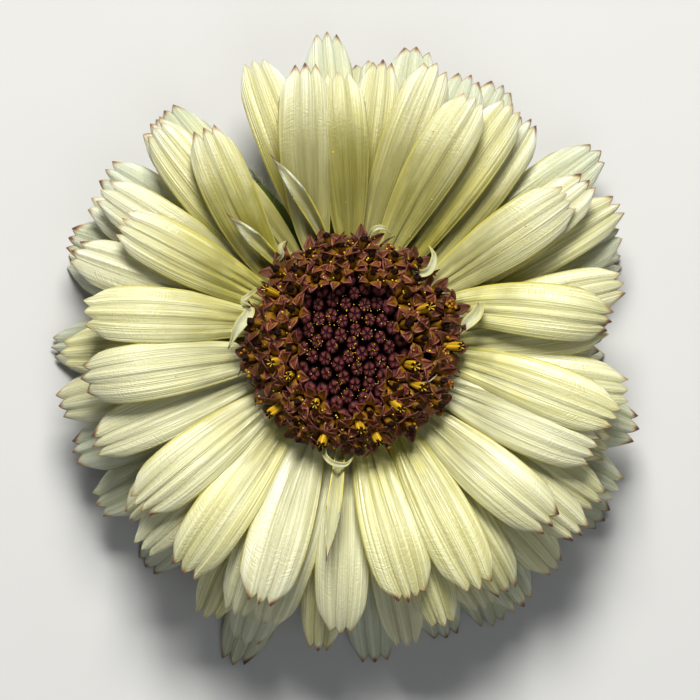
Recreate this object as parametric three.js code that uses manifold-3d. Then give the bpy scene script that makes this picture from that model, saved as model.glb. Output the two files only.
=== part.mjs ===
// Pot marigold: one double cream flower head with a short cut stem, lying face up.
// Millimetres, +Z up. The origin is under the middle of the head, on the surface that it rests on.

import * as THREE from 'three';
import { mergeVertices } from 'three/addons/utils/BufferGeometryUtils.js';
import Module from 'manifold-3d';

const wasm = await Module();
wasm.setup();

// Stem and receptacle, the widened end of the stem that carries every floret
const STEM_RADIUS = 2.3;
const STEM_LENGTH = 3.4;
const RECEPTACLE_RADIUS = 7.4;
const RECEPTACLE_FLARE_TOP = 6.6;
const RECEPTACLE_TOP = 14.6;
const ROUND_SIDES = 16;
const SEAT_GAP = 0.3;

// Ring at the root of each whorl, which sits round the receptacle
const COLLAR_INNER = RECEPTACLE_RADIUS + SEAT_GAP;
const COLLAR_OUTER = 9.2;
const COLLAR_HEIGHT = 0.9;

// Rays: thickness, where their roots start and where they leave the ring of disc florets
const BLADE_THICKNESS = 0.6;
const ROOT_START = 8.3;
const ROOT_LEAVES = 13;
const TIP_PULL = 0.35;
const BLADE_STATIONS = [0, 0.3, 0.7, 1];
const ROOT_WIDTH_SHARE = 0.3;
const WIDEST_AT = 0.64;
const END_NARROWING = 0.4;
const TOOTH_LENGTH = 1.2;
const EDGE_PULL_BACK = 0.5;
const ARCH_DEPTH = 0.4;
const GROOVE_DEPTH = 0.16;
const LIFT = 0.22;
const ROLL = 4;

// Height of the middle of each whorl at these distances from the axis
const WHORL_RADII = [8, 12, 17, 22, 27, 32, 37];
const WHORLS = [
  {
    name: 'ray_whorl_1',
    heights: [13.65, 14.0, 15.7, 16.7, 16.3, 14.4, 12.2],
    colour: '#ece9bd',
    // Each ray: azimuth of its tip, reach, azimuth of its root, width, teeth
    rays: [
      [99.8, 29.8, 112, 5.8, 3],
      [92.9, 28.9, 91.5, 5.3, 3],
      [125.3, 27.6, 140, 5.5, 3],
      [152.5, 27.5, 152.8, 5.7, 4],
      [173.5, 28.5, 167.5, 6.0, 3],
      [188.1, 29.0, 188, 6.1, 3],
      [217.3, 28.4, 215, 6.3, 4],
      [233.3, 30.2, 230.6, 6.1, 3],
      [250.2, 29.1, 246.6, 6.5, 3],
      [283.1, 27.7, 278.4, 6.5, 4],
      [297.4, 29.0, 298, 6.3, 3],
      [317.5, 28.5, 314, 6.3, 3],
      [336.1, 28.2, 333.6, 6.5, 4],
      [344.4, 28.9, 351, 5.9, 3],
      [5.4, 27.6, 20.9, 5.9, 3],
      [33.9, 27.7, 34, 6.1, 4],
      [63.6, 29.0, 69.4, 5.7, 3],
    ],
  },
  {
    name: 'ray_whorl_2',
    heights: [12.45, 12.6, 13.7, 14.3, 13.5, 11.3, 9.0],
    colour: '#e4e4ba',
    rays: [
      [129, 25.5, 125, 4.8, 3],
      [132.7, 31.0, 140, 5.3, 3],
      [148.5, 31.0, 150, 5.5, 3],
      [162.1, 31.0, 164, 5.5, 3],
      [201.3, 29.5, 199, 5.6, 3],
      [224.2, 31.0, 224, 5.5, 3],
      [246.6, 31.5, 240, 5.0, 3],
      [252.7, 31.8, 257, 5.5, 3],
      [267.6, 30.7, 267, 5.7, 3],
      [288.3, 31.4, 288, 5.2, 3],
      [302.2, 31.5, 305, 5.5, 3],
      [320.4, 31.6, 320, 5.5, 3],
      [327.3, 31.1, 330, 5.4, 3],
      [350.4, 29.7, 346, 5.8, 3],
      [4, 26.8, 359, 5.4, 3],
      [12, 29.4, 12, 5.4, 3],
      [34.2, 30.5, 28, 5.6, 3],
      [56.1, 30.5, 57, 5.4, 3],
      [73.1, 30.7, 79, 5.5, 3],
    ],
  },
  {
    name: 'ray_whorl_3',
    heights: [11.25, 11.3, 11.9, 12.0, 10.9, 8.5, 6.3],
    colour: '#dadeb8',
    rays: [
      [108.9, 31.8, 108, 5.5, 3],
      [133, 31.6, 133, 5.4, 3],
      [151.2, 31.4, 154, 5.4, 3],
      [181.8, 30.5, 179, 5.6, 3],
      [191.8, 32.3, 192, 5.5, 3],
      [218.6, 30.7, 214, 5.5, 3],
      [242, 33.0, 238, 5.2, 3],
      [263.8, 32.9, 262, 4.8, 3],
      [280.4, 32.8, 280, 5.1, 3],
      [296.8, 31.6, 296, 5.3, 3],
      [312, 33.0, 312, 5.3, 3],
      [337, 29.2, 337, 5.5, 3],
      [1.1, 26.8, 2, 5.5, 3],
      [27.5, 32.3, 22, 5.1, 3],
      [51.5, 30.9, 46, 5.3, 3],
      [84, 30.0, 85, 4.9, 3],
    ],
  },
  {
    name: 'ray_whorl_4',
    heights: [10.05, 10.0, 10.2, 9.7, 8.2, 5.7, 3.7],
    colour: '#ccd4bc',
    rays: [
      [94.9, 33.0, 95, 4.6, 3],
      [145.4, 32.0, 145, 5.4, 3],
      [159.1, 32.0, 159, 5.4, 3],
      [201.8, 31.9, 205, 5.5, 3],
      [212.5, 32.2, 219, 5.4, 3],
      [250.6, 34.5, 249, 5.2, 3],
      [303.3, 33.2, 304, 5.3, 3],
      [330.7, 32.1, 328, 5.4, 3],
      [342.8, 31.9, 343, 5.3, 3],
      [22.7, 30.8, 17, 5.2, 3],
      [37.9, 33.0, 39, 5.3, 3],
      [66, 31.5, 64, 5.3, 3],
      [77.8, 32.2, 73, 5.1, 3],
    ],
  },
  {
    name: 'ray_whorl_5',
    heights: [8.85, 8.7, 8.4, 7.2, 5.0, 2.2, 0.5],
    colour: '#b9c4b6',
    rays: [
      [129, 31.9, 131, 5.3, 3],
      [163.2, 31.7, 169, 5.4, 3],
      [181, 31.8, 184, 5.4, 3],
      [227, 32.7, 231, 5.4, 3],
      [249.8, 36.2, 251, 5.0, 3],
      [274.1, 34.1, 272, 5.0, 3],
      [287.6, 33.0, 290, 5.2, 3],
      [296.6, 33.6, 308, 5.2, 3],
      [325, 32.7, 322, 5.4, 3],
      [355, 27.5, 350, 5.4, 3],
      [18, 30.2, 22, 5.3, 3],
      [59.8, 32.1, 53, 5.4, 3],
      [86.8, 30.1, 88, 5.2, 3],
    ],
    // The lowest rays droop until their tips lie on the surface
    restsOnSurface: true,
  },
];
const REST_HEIGHT = BLADE_THICKNESS / 2 + ARCH_DEPTH - 0.15;

// Narrow stunted rays which stand beside the disc and lie over the top whorl
const STUNTED_RAYS = [
  [112.9, 21.7, 103.8, 2.2, 1],
  [134.1, 19.1, 132.3, 2.2, 1],
  [263.5, 23.2, 264, 2.2, 1],
];
const STUNTED_RISE = 1.5;

// Involucre: two rows of narrow bracts on a cup round the receptacle
const CUP_WALL = 1.1;
const CUP_TOP = 8.0;
const BRACTS_PER_ROW = 9;
const BRACT_ROWS = [
  { rootRadius: 8.0, rootZ: 6.5, reach: 19.5, tipZ: 5.2, width: 3.2, firstAzimuth: -1.5 },
  { rootRadius: 8.0, rootZ: 7.4, reach: 17.5, tipZ: 6.6, width: 3.0, firstAzimuth: 18.5 },
];
// The one bract that shows from above, in the opening between two rays
const SHOWN_BRACT = { azimuth: 118.5, reach: 21 };
const BRACT_STATIONS = [0, 0.35, 0.7, 1];

// Disc: closed buds in the middle, open florets in the ring round them
const GOLDEN_ANGLE = THREE.MathUtils.degToRad(137.508);
const BUD_COUNT = 38;
const BUD_SPACING = 0.84;
const BUD_RADIUS = 0.72;
const BUD_FIELD_RADIUS = 5.5;
const BUD_FIELD_BASE = RECEPTACLE_TOP + SEAT_GAP;
const BUD_FIELD_TOP = 16.4;
const FLORET_COUNT = 40;
const FLORET_FIRST_RADIUS = 6.7;
const FLORET_LAST_RADIUS = 10.9;
const FLORET_RING_INNER = 5.9;
const FLORET_RING_OUTER = 9.0;
const FLORET_RING_TOP = 16.2;
const LOBE_REACH = 1.3;
const SINUS_REACH = 0.7;
const LOBE_THICKNESS = 0.6;
const TUBE_LENGTH = 2.7;
const FIRST_LEAN = 10;
const LAST_LEAN = 58;
const FIRST_HEAD_HEIGHT = 18.1;
const LAST_HEAD_HEIGHT = 16.6;
const ANTHER_HEIGHT = 1.3;
const DISC_EDGE = 11;
const DISC_SHIFT = 0.5;
const DISC_SQUEEZE = 0.1;

function polar(radius, degrees, z = 0) {
  const angle = THREE.MathUtils.degToRad(degrees);
  return new THREE.Vector3(radius * Math.cos(angle), radius * Math.sin(angle), z);
}

// A closed geometry becomes a solid, without its repeated points and its zero-width triangles
function solidOf(geometry) {
  const bare = geometry.clone();
  bare.deleteAttribute('normal');
  bare.deleteAttribute('uv');
  const merged = mergeVertices(bare, 1e-4);
  const corners = merged.index.array;
  const kept = [];
  for (let i = 0; i < corners.length; i += 3) {
    const [a, b, c] = [corners[i], corners[i + 1], corners[i + 2]];
    if (a !== b && b !== c && c !== a) kept.push(a, b, c);
  }
  return new wasm.Manifold(new wasm.Mesh({
    numProp: 3,
    vertProperties: new Float32Array(merged.attributes.position.array),
    triVerts: new Uint32Array(kept),
  }));
}

// Joined solids become one geometry: the largest body, without loose scraps or sealed hollows
function fuse(solids) {
  const joined = solids.reduce((sum, solid) => sum.add(solid));
  const body = joined.decompose().reduce((best, piece) => (piece.volume() > best.volume() ? piece : best));
  const mesh = body.getMesh();
  const geometry = new THREE.BufferGeometry();
  geometry.setAttribute('position', new THREE.BufferAttribute(mesh.vertProperties, 3));
  geometry.setIndex(new THREE.BufferAttribute(mesh.triVerts, 1));
  geometry.computeVertexNormals();
  return geometry;
}

// A round piece about the axis, from its profile of [radius, height] points
function turned(profile, sides = ROUND_SIDES) {
  const points = profile.map(([radius, height]) => new THREE.Vector2(radius, height));
  return new THREE.LatheGeometry(points, sides).rotateX(Math.PI / 2);
}

// A closed geometry from loops of points and the triangles between them
function closedGeometry(points, triangles) {
  const geometry = new THREE.BufferGeometry().setFromPoints(points);
  geometry.setIndex(triangles);
  return geometry;
}

// A thin plate between two grids of points, with the same diagonals on both faces
function plate(upper, lower) {
  const rows = upper.length;
  const columns = upper[0].length;
  const points = [...upper.flat(), ...lower.flat()];
  const under = rows * columns;
  const at = (row, column) => row * columns + column;
  const triangles = [];
  const face = (a, b, c) => triangles.push(a, b, c);
  const wall = (a, b) => {
    face(a, a + under, b);
    face(b, a + under, b + under);
  };
  for (let row = 0; row < rows - 1; row += 1) {
    for (let column = 0; column < columns - 1; column += 1) {
      const [a, b] = [at(row, column), at(row + 1, column)];
      const [c, d] = [at(row + 1, column + 1), at(row, column + 1)];
      face(a, b, c);
      face(a, c, d);
      face(a + under, c + under, b + under);
      face(a + under, d + under, c + under);
    }
    wall(at(row, 0), at(row + 1, 0));
    wall(at(row + 1, columns - 1), at(row, columns - 1));
  }
  for (let column = 0; column < columns - 1; column += 1) {
    wall(at(0, column + 1), at(0, column));
    wall(at(rows - 1, column), at(rows - 1, column + 1));
  }
  return closedGeometry(points, triangles);
}

// Height of a whorl at a distance from the axis, as a smooth curve through its listed heights
function whorlHeight(heights, radius) {
  const curve = new THREE.SplineCurve(heights.map((height, i) => new THREE.Vector2(WHORL_RADII[i], height)));
  const share = (radius - WHORL_RADII[0]) / (WHORL_RADII.at(-1) - WHORL_RADII[0]);
  return curve.getPoint(share).y;
}

// Share of its full width that a ray has, a share of the way from its root to its notches
function widthShare(along) {
  const opening = Math.sin((Math.PI / 2) * Math.min(1, along / WIDEST_AT)) ** 1.2;
  const narrowing = Math.max(0, (along - WIDEST_AT) / (1 - WIDEST_AT)) ** 2;
  return ROOT_WIDTH_SHARE + (1 - ROOT_WIDTH_SHARE) * opening - END_NARROWING * narrowing;
}

// The plan of a ray's middle line: straight out between the disc florets, then over to its tip
function rayPlan(tipAzimuth, reach, rootAzimuth) {
  const root = polar(ROOT_START, rootAzimuth);
  const leaves = polar(ROOT_LEAVES, rootAzimuth);
  const tip = polar(reach, tipAzimuth);
  const pulled = tip.clone().lerp(leaves, TIP_PULL);
  return new THREE.CubicBezierCurve3(root, leaves, pulled, tip);
}

// Frame at a point of a middle line: out along the blade, to its left, and up from its face
function bladeFrame(middle, index, roll) {
  const before = middle[Math.max(0, index - 1)];
  const after = middle[Math.min(middle.length - 1, index + 1)];
  const out = after.clone().sub(before).normalize();
  const flatLeft = new THREE.Vector3(-out.y, out.x, 0).normalize();
  const flatUp = out.clone().cross(flatLeft);
  const left = flatLeft.clone().applyAxisAngle(out, roll);
  const up = flatUp.clone().applyAxisAngle(out, roll);
  return { out, left, up };
}

// One ray: a grooved, arched strap with pointed teeth, whose notches end the grooves.
// A ray with one tooth is a channel that runs out in a point.
function ray(middle, width, teeth, roll) {
  const isChannel = teeth === 1;
  const columns = isChannel ? 3 : 2 * teeth - 1;
  const upper = [];
  const lower = [];
  BLADE_STATIONS.forEach((along, index) => {
    const { out, left, up } = bladeFrame(middle, index, roll * along);
    const atEnd = index === BLADE_STATIONS.length - 1;
    const upperRow = [];
    const lowerRow = [];
    for (let column = 0; column < columns; column += 1) {
      const across = 1 - (2 * column) / (columns - 1);
      const isTooth = column % 2 === (isChannel ? 1 : 0);
      const crease = isTooth === isChannel ? -GROOVE_DEPTH : GROOVE_DEPTH;
      const rise = along * (crease - ARCH_DEPTH * across ** 2);
      const point = middle[index].clone();
      point.addScaledVector(left, (-across * width * widthShare(along)) / 2);
      point.addScaledVector(up, rise);
      if (atEnd) point.addScaledVector(out, isTooth ? TOOTH_LENGTH - EDGE_PULL_BACK * across ** 2 : 0);
      upperRow.push(point.clone().addScaledVector(up, BLADE_THICKNESS / 2));
      lowerRow.push(point.clone().addScaledVector(up, -BLADE_THICKNESS / 2));
    }
    upper.push(upperRow);
    lower.push(lowerRow);
  });
  return plate(upper, lower);
}

// A ray of a whorl, set at its own small lift and roll so that neighbours lie like shingles
function whorlRay(whorl, index) {
  const [tipAzimuth, reach, rootAzimuth, width, teeth] = whorl.rays[index];
  const plan = rayPlan(tipAzimuth, reach - TOOTH_LENGTH, rootAzimuth);
  const lift = LIFT * Math.sin(index * 2.4 + 1);
  const tipHeight = whorlHeight(whorl.heights, reach);
  const droop = whorl.restsOnSurface ? tipHeight + lift - REST_HEIGHT : 0;
  const middle = BLADE_STATIONS.map((along) => {
    const point = plan.getPoint(along);
    point.z = whorlHeight(whorl.heights, Math.hypot(point.x, point.y)) + lift * along - droop * along ** 3;
    return point;
  });
  const roll = THREE.MathUtils.degToRad(ROLL * Math.sin(index * 1.7 + 2));
  return ray(middle, width, teeth, roll);
}

// A stunted ray climbs beside the disc and lies over the top whorl
function stuntedRay([tipAzimuth, reach, rootAzimuth, width, teeth]) {
  const plan = rayPlan(tipAzimuth, reach - TOOTH_LENGTH, rootAzimuth);
  const middle = BLADE_STATIONS.map((along) => {
    const point = plan.getPoint(along);
    const rise = STUNTED_RISE * Math.min(1, along / 0.4);
    point.z = whorlHeight(WHORLS[0].heights, Math.hypot(point.x, point.y)) + rise;
    return point;
  });
  return ray(middle, width, teeth, 0);
}

function collar(rootHeight) {
  const bottom = rootHeight - COLLAR_HEIGHT / 2;
  const top = rootHeight + COLLAR_HEIGHT / 2;
  return turned([
    [COLLAR_INNER, bottom],
    [COLLAR_OUTER, bottom],
    [COLLAR_OUTER, top],
    [COLLAR_INNER, top],
    [COLLAR_INNER, bottom],
  ]);
}

function whorlGeometry(whorl) {
  const pieces = [collar(whorl.heights[0]), ...whorl.rays.map((_, index) => whorlRay(whorl, index))];
  if (whorl === WHORLS[0]) pieces.push(...STUNTED_RAYS.map(stuntedRay));
  return fuse(pieces.map(solidOf));
}

function stemGeometry() {
  return turned([
    [0, 0],
    [STEM_RADIUS, 0],
    [STEM_RADIUS, STEM_LENGTH],
    [STEM_RADIUS + 1.4, STEM_LENGTH + 1.3],
    [RECEPTACLE_RADIUS, RECEPTACLE_FLARE_TOP],
    [RECEPTACLE_RADIUS, RECEPTACLE_TOP],
    [0, RECEPTACLE_TOP],
  ]);
}

// A bract: a narrow pointed blade with a raised midrib
function bract(azimuth, row, reach) {
  const root = polar(row.rootRadius, azimuth, row.rootZ);
  const tip = polar(reach, azimuth, row.tipZ);
  const middle = BRACT_STATIONS.map((along) => {
    const point = root.clone().lerp(tip, along);
    point.z += 0.7 * Math.sin(Math.PI * along);
    return point;
  });
  const upper = [];
  const lower = [];
  middle.forEach((point, index) => {
    const { left, up } = bladeFrame(middle, index, 0);
    const along = BRACT_STATIONS[index];
    const half = (row.width / 2) * (1 - 0.85 * along ** 2.2);
    const spots = [-1, 0, 1].map((across) => {
      const spot = point.clone().addScaledVector(left, across * half);
      return spot.addScaledVector(up, -0.25 * Math.abs(across));
    });
    upper.push(spots.map((spot) => spot.clone().addScaledVector(up, BLADE_THICKNESS / 2)));
    lower.push(spots.map((spot) => spot.clone().addScaledVector(up, -BLADE_THICKNESS / 2)));
  });
  return plate(upper, lower);
}

function involucreGeometry() {
  const inner = RECEPTACLE_RADIUS + SEAT_GAP;
  const outer = inner + CUP_WALL;
  const cup = turned([
    [STEM_RADIUS + 1.9, STEM_LENGTH + 1.1],
    [outer, RECEPTACLE_FLARE_TOP - 0.4],
    [outer, CUP_TOP],
    [inner, CUP_TOP],
    [inner, RECEPTACLE_FLARE_TOP - 0.1],
    [STEM_RADIUS + 1.9, STEM_LENGTH + 1.1],
  ]);
  const bracts = [];
  BRACT_ROWS.forEach((row) => {
    for (let i = 0; i < BRACTS_PER_ROW; i += 1) {
      const azimuth = row.firstAzimuth + (360 / BRACTS_PER_ROW) * i;
      const isShown = row === BRACT_ROWS[0] && Math.abs(azimuth - SHOWN_BRACT.azimuth) < 2;
      bracts.push(isShown ? bract(SHOWN_BRACT.azimuth, row, SHOWN_BRACT.reach) : bract(azimuth, row, row.reach));
    }
  });
  return fuse([cup, ...bracts].map(solidOf));
}

// The bud field is taller than it is wide, and its edge eases into the round edge of the disc
function shapeDisc(geometry) {
  const spots = geometry.attributes.position;
  for (let i = 0; i < spots.count; i += 1) {
    const [x, y] = [spots.getX(i), spots.getY(i)];
    const inner = THREE.MathUtils.clamp((DISC_EDGE - Math.hypot(x, y)) / 5, 0, 1);
    spots.setX(i, x * (1 - DISC_SQUEEZE * inner) - DISC_SHIFT * inner);
    spots.setY(i, y * (1 + DISC_SQUEEZE * inner));
  }
  geometry.computeVertexNormals();
  return geometry;
}

function bud(index) {
  const radius = BUD_SPACING * Math.sqrt(index + 0.5);
  const angle = index * GOLDEN_ANGLE;
  const base = BUD_FIELD_TOP - 0.02 * radius ** 2;
  const knob = turned([
    [0, -0.9],
    [BUD_RADIUS, 0.15],
    [BUD_RADIUS * 0.6, 0.6],
    [0, 0.75],
  ], 5);
  knob.rotateZ(angle * 3);
  knob.rotateY(0.05 * radius);
  return knob.translate(radius, 0, base).rotateZ(angle);
}

function budGeometry() {
  const field = turned([
    [0, BUD_FIELD_BASE],
    [BUD_FIELD_RADIUS, BUD_FIELD_BASE],
    [BUD_FIELD_RADIUS, BUD_FIELD_TOP - 0.9],
    [BUD_FIELD_RADIUS * 0.6, BUD_FIELD_TOP - 0.3],
    [0, BUD_FIELD_TOP - 0.1],
  ]);
  const pieces = [field];
  for (let index = 0; index < BUD_COUNT; index += 1) pieces.push(bud(index));
  return shapeDisc(fuse(pieces.map(solidOf)));
}

// An open floret: a narrow tube, five pointed lobes, and the anther column in the middle
function floret() {
  const points = [];
  const triangles = [];
  const ring = (count, z, radiusAt) => {
    const first = points.length;
    for (let i = 0; i < count; i += 1) points.push(polar(radiusAt(i), (360 / count) * i, z));
    return first;
  };
  const lobed = (i) => (i % 2 === 0 ? LOBE_REACH : SINUS_REACH);
  const foot = points.push(new THREE.Vector3(0, 0, -TUBE_LENGTH)) - 1;
  const under = ring(10, -LOBE_THICKNESS, lobed);
  const rim = ring(10, 0, lobed);
  const throat = ring(5, -0.3, () => 0.4);
  const apex = points.push(new THREE.Vector3(0, 0, ANTHER_HEIGHT)) - 1;
  for (let k = 0; k < 5; k += 1) {
    const next = (k + 1) % 5;
    const [lobe, sinus, nextLobe] = [2 * k, 2 * k + 1, 2 * next];
    triangles.push(under + sinus, under + lobe, foot);
    triangles.push(under + nextLobe, under + sinus, foot);
    triangles.push(under + lobe, under + sinus, rim + sinus, under + lobe, rim + sinus, rim + lobe);
    triangles.push(under + sinus, under + nextLobe, rim + nextLobe, under + sinus, rim + nextLobe, rim + sinus);
    triangles.push(rim + lobe, rim + sinus, throat + k);
    triangles.push(rim + sinus, rim + nextLobe, throat + next);
    triangles.push(rim + sinus, throat + next, throat + k);
    triangles.push(throat + k, throat + next, apex);
  }
  return closedGeometry(points, triangles);
}

// Florets stand upright beside the buds and lean out over the rays at the edge of the disc
function placedFloret(index) {
  const share = index / (FLORET_COUNT - 1);
  const radius = Math.sqrt(THREE.MathUtils.lerp(FLORET_FIRST_RADIUS ** 2, FLORET_LAST_RADIUS ** 2, share));
  const angle = (index + BUD_COUNT) * GOLDEN_ANGLE;
  const lean = THREE.MathUtils.degToRad(THREE.MathUtils.lerp(FIRST_LEAN, LAST_LEAN, share));
  const height = THREE.MathUtils.lerp(FIRST_HEAD_HEIGHT, LAST_HEAD_HEIGHT, share ** 1.5);
  const head = floret();
  head.rotateZ(index * 1.3);
  head.rotateY(lean);
  return head.translate(radius, 0, height).rotateZ(angle);
}

function floretGeometry() {
  const ringBase = turned([
    [FLORET_RING_INNER, BUD_FIELD_BASE],
    [FLORET_RING_OUTER, BUD_FIELD_BASE],
    [FLORET_RING_OUTER + 0.3, FLORET_RING_TOP - 0.6],
    [FLORET_RING_OUTER - 0.8, FLORET_RING_TOP],
    [FLORET_RING_INNER, FLORET_RING_TOP],
    [FLORET_RING_INNER, BUD_FIELD_BASE],
  ]);
  const pieces = [ringBase];
  for (let index = 0; index < FLORET_COUNT; index += 1) pieces.push(placedFloret(index));
  return shapeDisc(fuse(pieces.map(solidOf)));
}

function part(name, geometry, colour, roughness) {
  const material = new THREE.MeshStandardMaterial({ color: colour, roughness, metalness: 0, flatShading: true });
  const mesh = new THREE.Mesh(geometry, material);
  mesh.name = name;
  return mesh;
}

const head = new THREE.Group();
head.add(part('stem', stemGeometry(), '#6f8f45', 0.7));
head.add(part('involucre', involucreGeometry(), '#5f7f35', 0.75));
WHORLS.forEach((whorl) => head.add(part(whorl.name, whorlGeometry(whorl), whorl.colour, 0.5)));
head.add(part('disc_florets', floretGeometry(), '#7c4438', 0.65));
head.add(part('disc_buds', budGeometry(), '#4a2030', 0.6));

// The middle of the head's outline goes over the origin
const outline = new THREE.Box3().setFromObject(head, true);
const middle = outline.getCenter(new THREE.Vector3());
head.position.set(-middle.x, -middle.y, 0);
const marigold = new THREE.Group();
marigold.add(head);

export default marigold;
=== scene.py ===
"""Pot marigold: the looks of a double cream flower head, laid face up and seen from straight above."""
from math import atan2, cos, hypot, pi, radians, sin, sqrt, tau
from random import Random

import bmesh
import bpy
from mathutils import Matrix, Vector


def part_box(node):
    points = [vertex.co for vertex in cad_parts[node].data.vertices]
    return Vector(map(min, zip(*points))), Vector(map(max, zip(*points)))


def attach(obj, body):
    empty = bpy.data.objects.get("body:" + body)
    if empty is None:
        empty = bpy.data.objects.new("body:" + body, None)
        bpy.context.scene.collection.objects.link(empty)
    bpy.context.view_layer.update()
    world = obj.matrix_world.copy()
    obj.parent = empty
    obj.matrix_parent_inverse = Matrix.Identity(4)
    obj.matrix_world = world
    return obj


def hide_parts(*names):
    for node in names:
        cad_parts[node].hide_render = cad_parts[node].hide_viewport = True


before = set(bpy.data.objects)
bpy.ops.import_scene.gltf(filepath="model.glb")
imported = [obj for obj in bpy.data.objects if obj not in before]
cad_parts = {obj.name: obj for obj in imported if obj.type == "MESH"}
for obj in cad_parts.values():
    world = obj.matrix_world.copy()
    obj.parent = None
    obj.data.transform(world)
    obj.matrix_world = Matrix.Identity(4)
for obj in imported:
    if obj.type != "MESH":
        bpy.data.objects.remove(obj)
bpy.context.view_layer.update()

MM = 0.001
BODY = "root"
GOLDEN_ANGLE = radians(137.508)

# The flower's axis runs up the middle of its stem
stem_low, stem_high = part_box("stem")
AXIS = Vector(((stem_low.x + stem_high.x) / 2, (stem_low.y + stem_high.y) / 2, 0))

# Rays: sizes in millimetres and degrees, near those of the solids
ROOT_START = 8.3
ROOT_LEAVES = 13
TIP_PULL = 0.35
ROOT_WIDTH_SHARE = 0.3
WIDEST_AT = 0.7
END_NARROWING = 0.2
LOWER_WIDENING = 1.12
TOOTH_LENGTH = 1.2
ARCH_DEPTH = 0.75
LIFT = 0.22
ROLL = 4
REST_HEIGHT = 0.55
PETAL_THICKNESS = 0.3
BENT_SHARE = 0.25
STATIONS = 64
# Azimuth of the side towards the key light: its rays get painted shade towards the root and a painted
# highlight at the end
PAINTED_LIGHT_SIDE = 92
# How far the outer teeth stand from the middle, and the grid columns, by the number of teeth
END_SPREAD = {3: 0.5, 4: 0.6}
COLUMNS = {1: 14, 3: 30, 4: 32}

# Each whorl: heights of its middle at even steps between two distances from the axis, then its
# rays: azimuth of the tip, reach, azimuth of the root, width, and teeth where there aren't three
WHORL_RADII = (8, 37)
RESTING_WHORL = "ray_whorl_5"
WHORLS = {
    "ray_whorl_1": ((13.65, 14, 15.7, 16.7, 16.3, 14.4, 12.2), [
        (99.8, 29.8, 112, 5.8), (92.9, 28.9, 91.5, 5.3), (125.3, 27.6, 140, 5.5),
        (152.5, 27.5, 152.8, 5.7, 4), (173.5, 28.5, 167.5, 6), (188.1, 29, 188, 6.1),
        (217.3, 28.4, 215, 6.3, 4), (233.3, 30.2, 230.6, 6.1), (250.2, 29.1, 246.6, 6.5),
        (283.1, 27.7, 278.4, 6.5, 4), (297.4, 29, 298, 6.3), (317.5, 28.5, 314, 6.3),
        (336.1, 28.2, 333.6, 6.5, 4), (344.4, 28.9, 351, 5.9), (5.4, 27.6, 20.9, 5.9),
        (33.9, 27.7, 34, 6.1, 4), (63.6, 29, 69.4, 5.7),
    ]),
    "ray_whorl_2": ((12.45, 12.6, 13.7, 14.3, 13.5, 11.3, 9), [
        (129, 25.5, 125, 4.8), (132.7, 31, 140, 5.3), (148.5, 31, 150, 5.5), (162.1, 31, 164, 5.5),
        (201.3, 29.5, 199, 5.6), (224.2, 31, 224, 5.5), (246.6, 31.5, 240, 5),
        (252.7, 31.8, 257, 5.5), (267.6, 30.7, 267, 5.7), (288.3, 31.4, 288, 5.2),
        (302.2, 31.5, 305, 5.5), (320.4, 31.6, 320, 5.5), (327.3, 31.1, 330, 5.4),
        (350.4, 29.7, 346, 5.8), (4, 26.8, 359, 5.4), (12, 29.4, 12, 5.4), (34.2, 30.5, 28, 5.6),
        (56.1, 30.5, 57, 5.4), (73.1, 30.7, 79, 5.5),
    ]),
    "ray_whorl_3": ((11.25, 11.3, 11.9, 12, 10.9, 8.5, 6.3), [
        (108.9, 31.8, 108, 5.5), (133, 31.6, 133, 5.4), (151.2, 31.4, 154, 5.4), (181.8, 30.5, 179, 5.6),
        (191.8, 32.3, 192, 5.5), (218.6, 30.7, 214, 5.5), (242, 33, 238, 5.2), (263.8, 32.9, 262, 4.8),
        (280.4, 32.8, 280, 5.1), (296.8, 31.6, 296, 5.3), (312, 33, 312, 5.3), (337, 29.2, 337, 5.5),
        (1.1, 26.8, 2, 5.5), (27.5, 32.3, 22, 5.1), (51.5, 30.9, 46, 5.3), (84, 30, 85, 4.9),
    ]),
    "ray_whorl_4": ((10.05, 10, 10.2, 9.7, 8.2, 5.7, 3.7), [
        (94.9, 33, 95, 4.6), (145.4, 32, 145, 5.4), (159.1, 32, 159, 5.4), (201.8, 31.9, 205, 5.5),
        (212.5, 32.2, 219, 5.4), (250.6, 34.5, 249, 5.2), (303.3, 33.2, 304, 5.3),
        (330.7, 32.1, 328, 5.4), (342.8, 31.9, 343, 5.3), (22.7, 30.8, 17, 5.2), (37.9, 33, 39, 5.3),
        (66, 31.5, 64, 5.3), (77.8, 32.2, 73, 5.1),
    ]),
    "ray_whorl_5": ((8.85, 8.7, 8.4, 7.2, 5, 2.2, 0.5), [
        (129, 31.9, 131, 5.3), (163.2, 31.7, 169, 5.4), (181, 31.8, 184, 5.4), (227, 32.7, 231, 5.4),
        (249.8, 36.2, 251, 5), (274.1, 34.1, 272, 5), (287.6, 33, 290, 5.2),
        (296.6, 33.6, 308, 5.2), (325, 32.7, 322, 5.4), (355, 27.5, 350, 5.4), (18, 30.2, 22, 5.3),
        (59.8, 32.1, 53, 5.4), (86.8, 30.1, 88, 5.2),
    ]),
}
STUNTED_RAYS = [(112.9, 21.7, 103.8, 2.2), (134.1, 19.1, 132.3, 2.2), (263.5, 23.2, 264, 2.2)]
STUNTED_RISE = 1.5
STUNTED_NARROWING = 0.72
COLLAR_INNER = 7.7
COLLAR_OUTER = 9.2
COLLAR_HEIGHT = 0.9

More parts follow.
